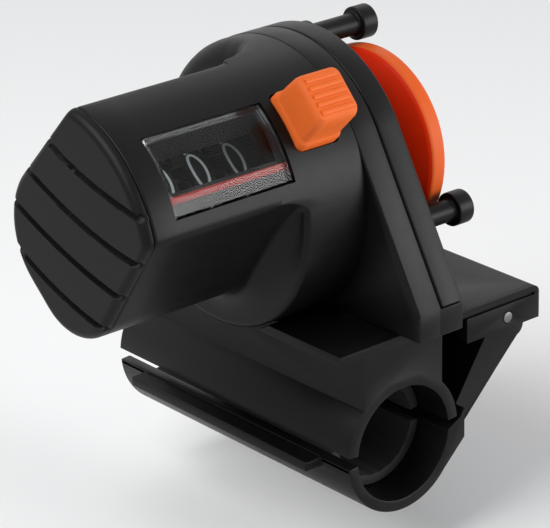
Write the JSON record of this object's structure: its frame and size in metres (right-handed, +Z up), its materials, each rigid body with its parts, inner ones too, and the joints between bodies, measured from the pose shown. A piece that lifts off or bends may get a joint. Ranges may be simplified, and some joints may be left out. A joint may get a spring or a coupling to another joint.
{
  "type": "fishing line counter",
  "caption": "Clip-on counter for a fishing rod: the line turns an orange wheel that drives digit drums behind a window, with a reset button and a sprung, padded rod clip.",
  "frame": {"origin": "on the rod's centre line, midway along the clip", "axes": "+X along the barrel towards the line wheel, -Y faces the angler who reads the window and lies along the rod, +Z up from the rod to the barrel"},
  "size_m": [0.058, 0.0534, 0.0574],
  "materials": {
    "black_abs": "satin moulded black plastic with a fine grain",
    "orange_abs": "smooth satin orange plastic",
    "drum_black": "matt black with printed white digits",
    "acetal": "waxy off-white",
    "red_print": "printed red line",
    "clear_lens": "clear polished acrylic",
    "steel": "plain bright steel",
    "brass": "turned brass",
    "rubber": "matt black rubber"
  },
  "bodies": {
    "counter": {"housing": "black_abs", "side_cover": "black_abs", "end_cap": "black_abs", "window_bezel": "black_abs", "guide_post_rear": "black_abs", "guide_post_front": "black_abs", "clip_base": "black_abs", "counter_frame": "acetal", "index_line": "red_print", "window_lens": "clear_lens", "button_spring": "steel", "digit_shaft": "steel", "carry_shaft": "steel", "first_arbor": "steel", "third_arbor": "steel", "cover_screw_1": "steel", "cover_screw_2": "steel", "cover_screw_3": "steel", "frame_screw_1": "steel", "frame_screw_2": "steel", "base_screw_1": "steel", "base_screw_2": "steel", "clip_pin": "steel", "clip_spring": "steel", "shaft_bush": "brass", "upper_pad": "rubber"},
    "wheel": {"line_wheel": "orange_abs", "wheel_shaft": "steel", "wheel_screw": "steel", "drive_pinion": "brass"},
    "first_gear": {"first_gear": "acetal"},
    "second_gear": {"second_gear": "acetal"},
    "third_gear": {"third_gear": "acetal"},
    "units": {"units_gear": "acetal", "units_drum": "drum_black"},
    "tens": {"tens_drum": "drum_black"},
    "hundreds": {"hundreds_drum": "drum_black"},
    "tens_pinion": {"carry_pinion_tens": "acetal"},
    "hundreds_pinion": {"carry_pinion_hundreds": "acetal"},
    "button": {"reset_button": "orange_abs"},
    "comb": {"reset_comb": "black_abs"},
    "jaw": {"clip_jaw": "black_abs", "lower_pad": "rubber"}
  },
  "joints": [
    {"name": "wheel_spin", "type": "hinge", "parent": "counter", "child": "wheel", "pos_m": [0.0062, 0, 0.03], "axis": [1, 0, 0], "continuous": true},
    {"name": "first_gear_spin", "type": "hinge", "parent": "counter", "child": "first_gear", "pos_m": [0.0062, -0.00614, 0.02427], "axis": [1, 0, 0], "continuous": true},
    {"name": "second_gear_spin", "type": "hinge", "parent": "counter", "child": "second_gear", "pos_m": [-0.0018, 0, 0.03], "axis": [1, 0, 0], "continuous": true},
    {"name": "third_gear_spin", "type": "hinge", "parent": "counter", "child": "third_gear", "pos_m": [0.0062, 0.00614, 0.03573], "axis": [1, 0, 0], "continuous": true},
    {"name": "units_spin", "type": "hinge", "parent": "counter", "child": "units", "pos_m": [-0.0118, 0, 0.03], "axis": [1, 0, 0], "continuous": true},
    {"name": "tens_spin", "type": "hinge", "parent": "counter", "child": "tens", "pos_m": [-0.0178, 0, 0.03], "axis": [1, 0, 0], "continuous": true},
    {"name": "hundreds_spin", "type": "hinge", "parent": "counter", "child": "hundreds", "pos_m": [-0.0228, 0, 0.03], "axis": [1, 0, 0], "continuous": true},
    {"name": "tens_pinion_spin", "type": "hinge", "parent": "counter", "child": "tens_pinion", "pos_m": [-0.0148, -0.00333, 0.03916], "axis": [1, 0, 0], "continuous": true},
    {"name": "hundreds_pinion_spin", "type": "hinge", "parent": "counter", "child": "hundreds_pinion", "pos_m": [-0.0208, -0.00333, 0.03916], "axis": [1, 0, 0], "continuous": true},
    {"name": "button_press", "type": "slide", "parent": "counter", "child": "button", "axis": [0, 0.7314, -0.682], "range_m": [0, 0.0016], "stiffness_N_per_m": 400, "springref_m": -0.002, "deforming": ["button_spring"]},
    {"name": "comb_swing", "type": "hinge", "parent": "counter", "child": "comb", "pos_m": [-0.0138, -0.01129, 0.03039], "axis": [-1, 0, 0], "range_deg": [0, 40]},
    {"name": "jaw_open", "type": "hinge", "parent": "counter", "child": "jaw", "pos_m": [0.0179, 0, 0.0117], "axis": [0, -1, 0], "range_deg": [0, 28], "stiffness_Nm_per_rad": 0.12, "springref_deg": -28.65, "deforming": ["clip_spring"]}
  ],
  "couplings": [
    {"joint": "first_gear_spin", "follows": "wheel_spin", "ratio": -0.2},
    {"joint": "second_gear_spin", "follows": "wheel_spin", "ratio": 0.04},
    {"joint": "third_gear_spin", "follows": "wheel_spin", "ratio": -0.008},
    {"joint": "units_spin", "follows": "wheel_spin", "ratio": 0.008},
    {"joint": "tens_spin", "follows": "wheel_spin", "ratio": 0.0008},
    {"joint": "hundreds_spin", "follows": "wheel_spin", "ratio": 0.00008},
    {"joint": "tens_pinion_spin", "follows": "wheel_spin", "ratio": -0.0026667},
    {"joint": "hundreds_pinion_spin", "follows": "wheel_spin", "ratio": -0.00026667},
    {"joint": "comb_swing", "follows": "button_press", "rad_per_m": 134.9}
  ]
}
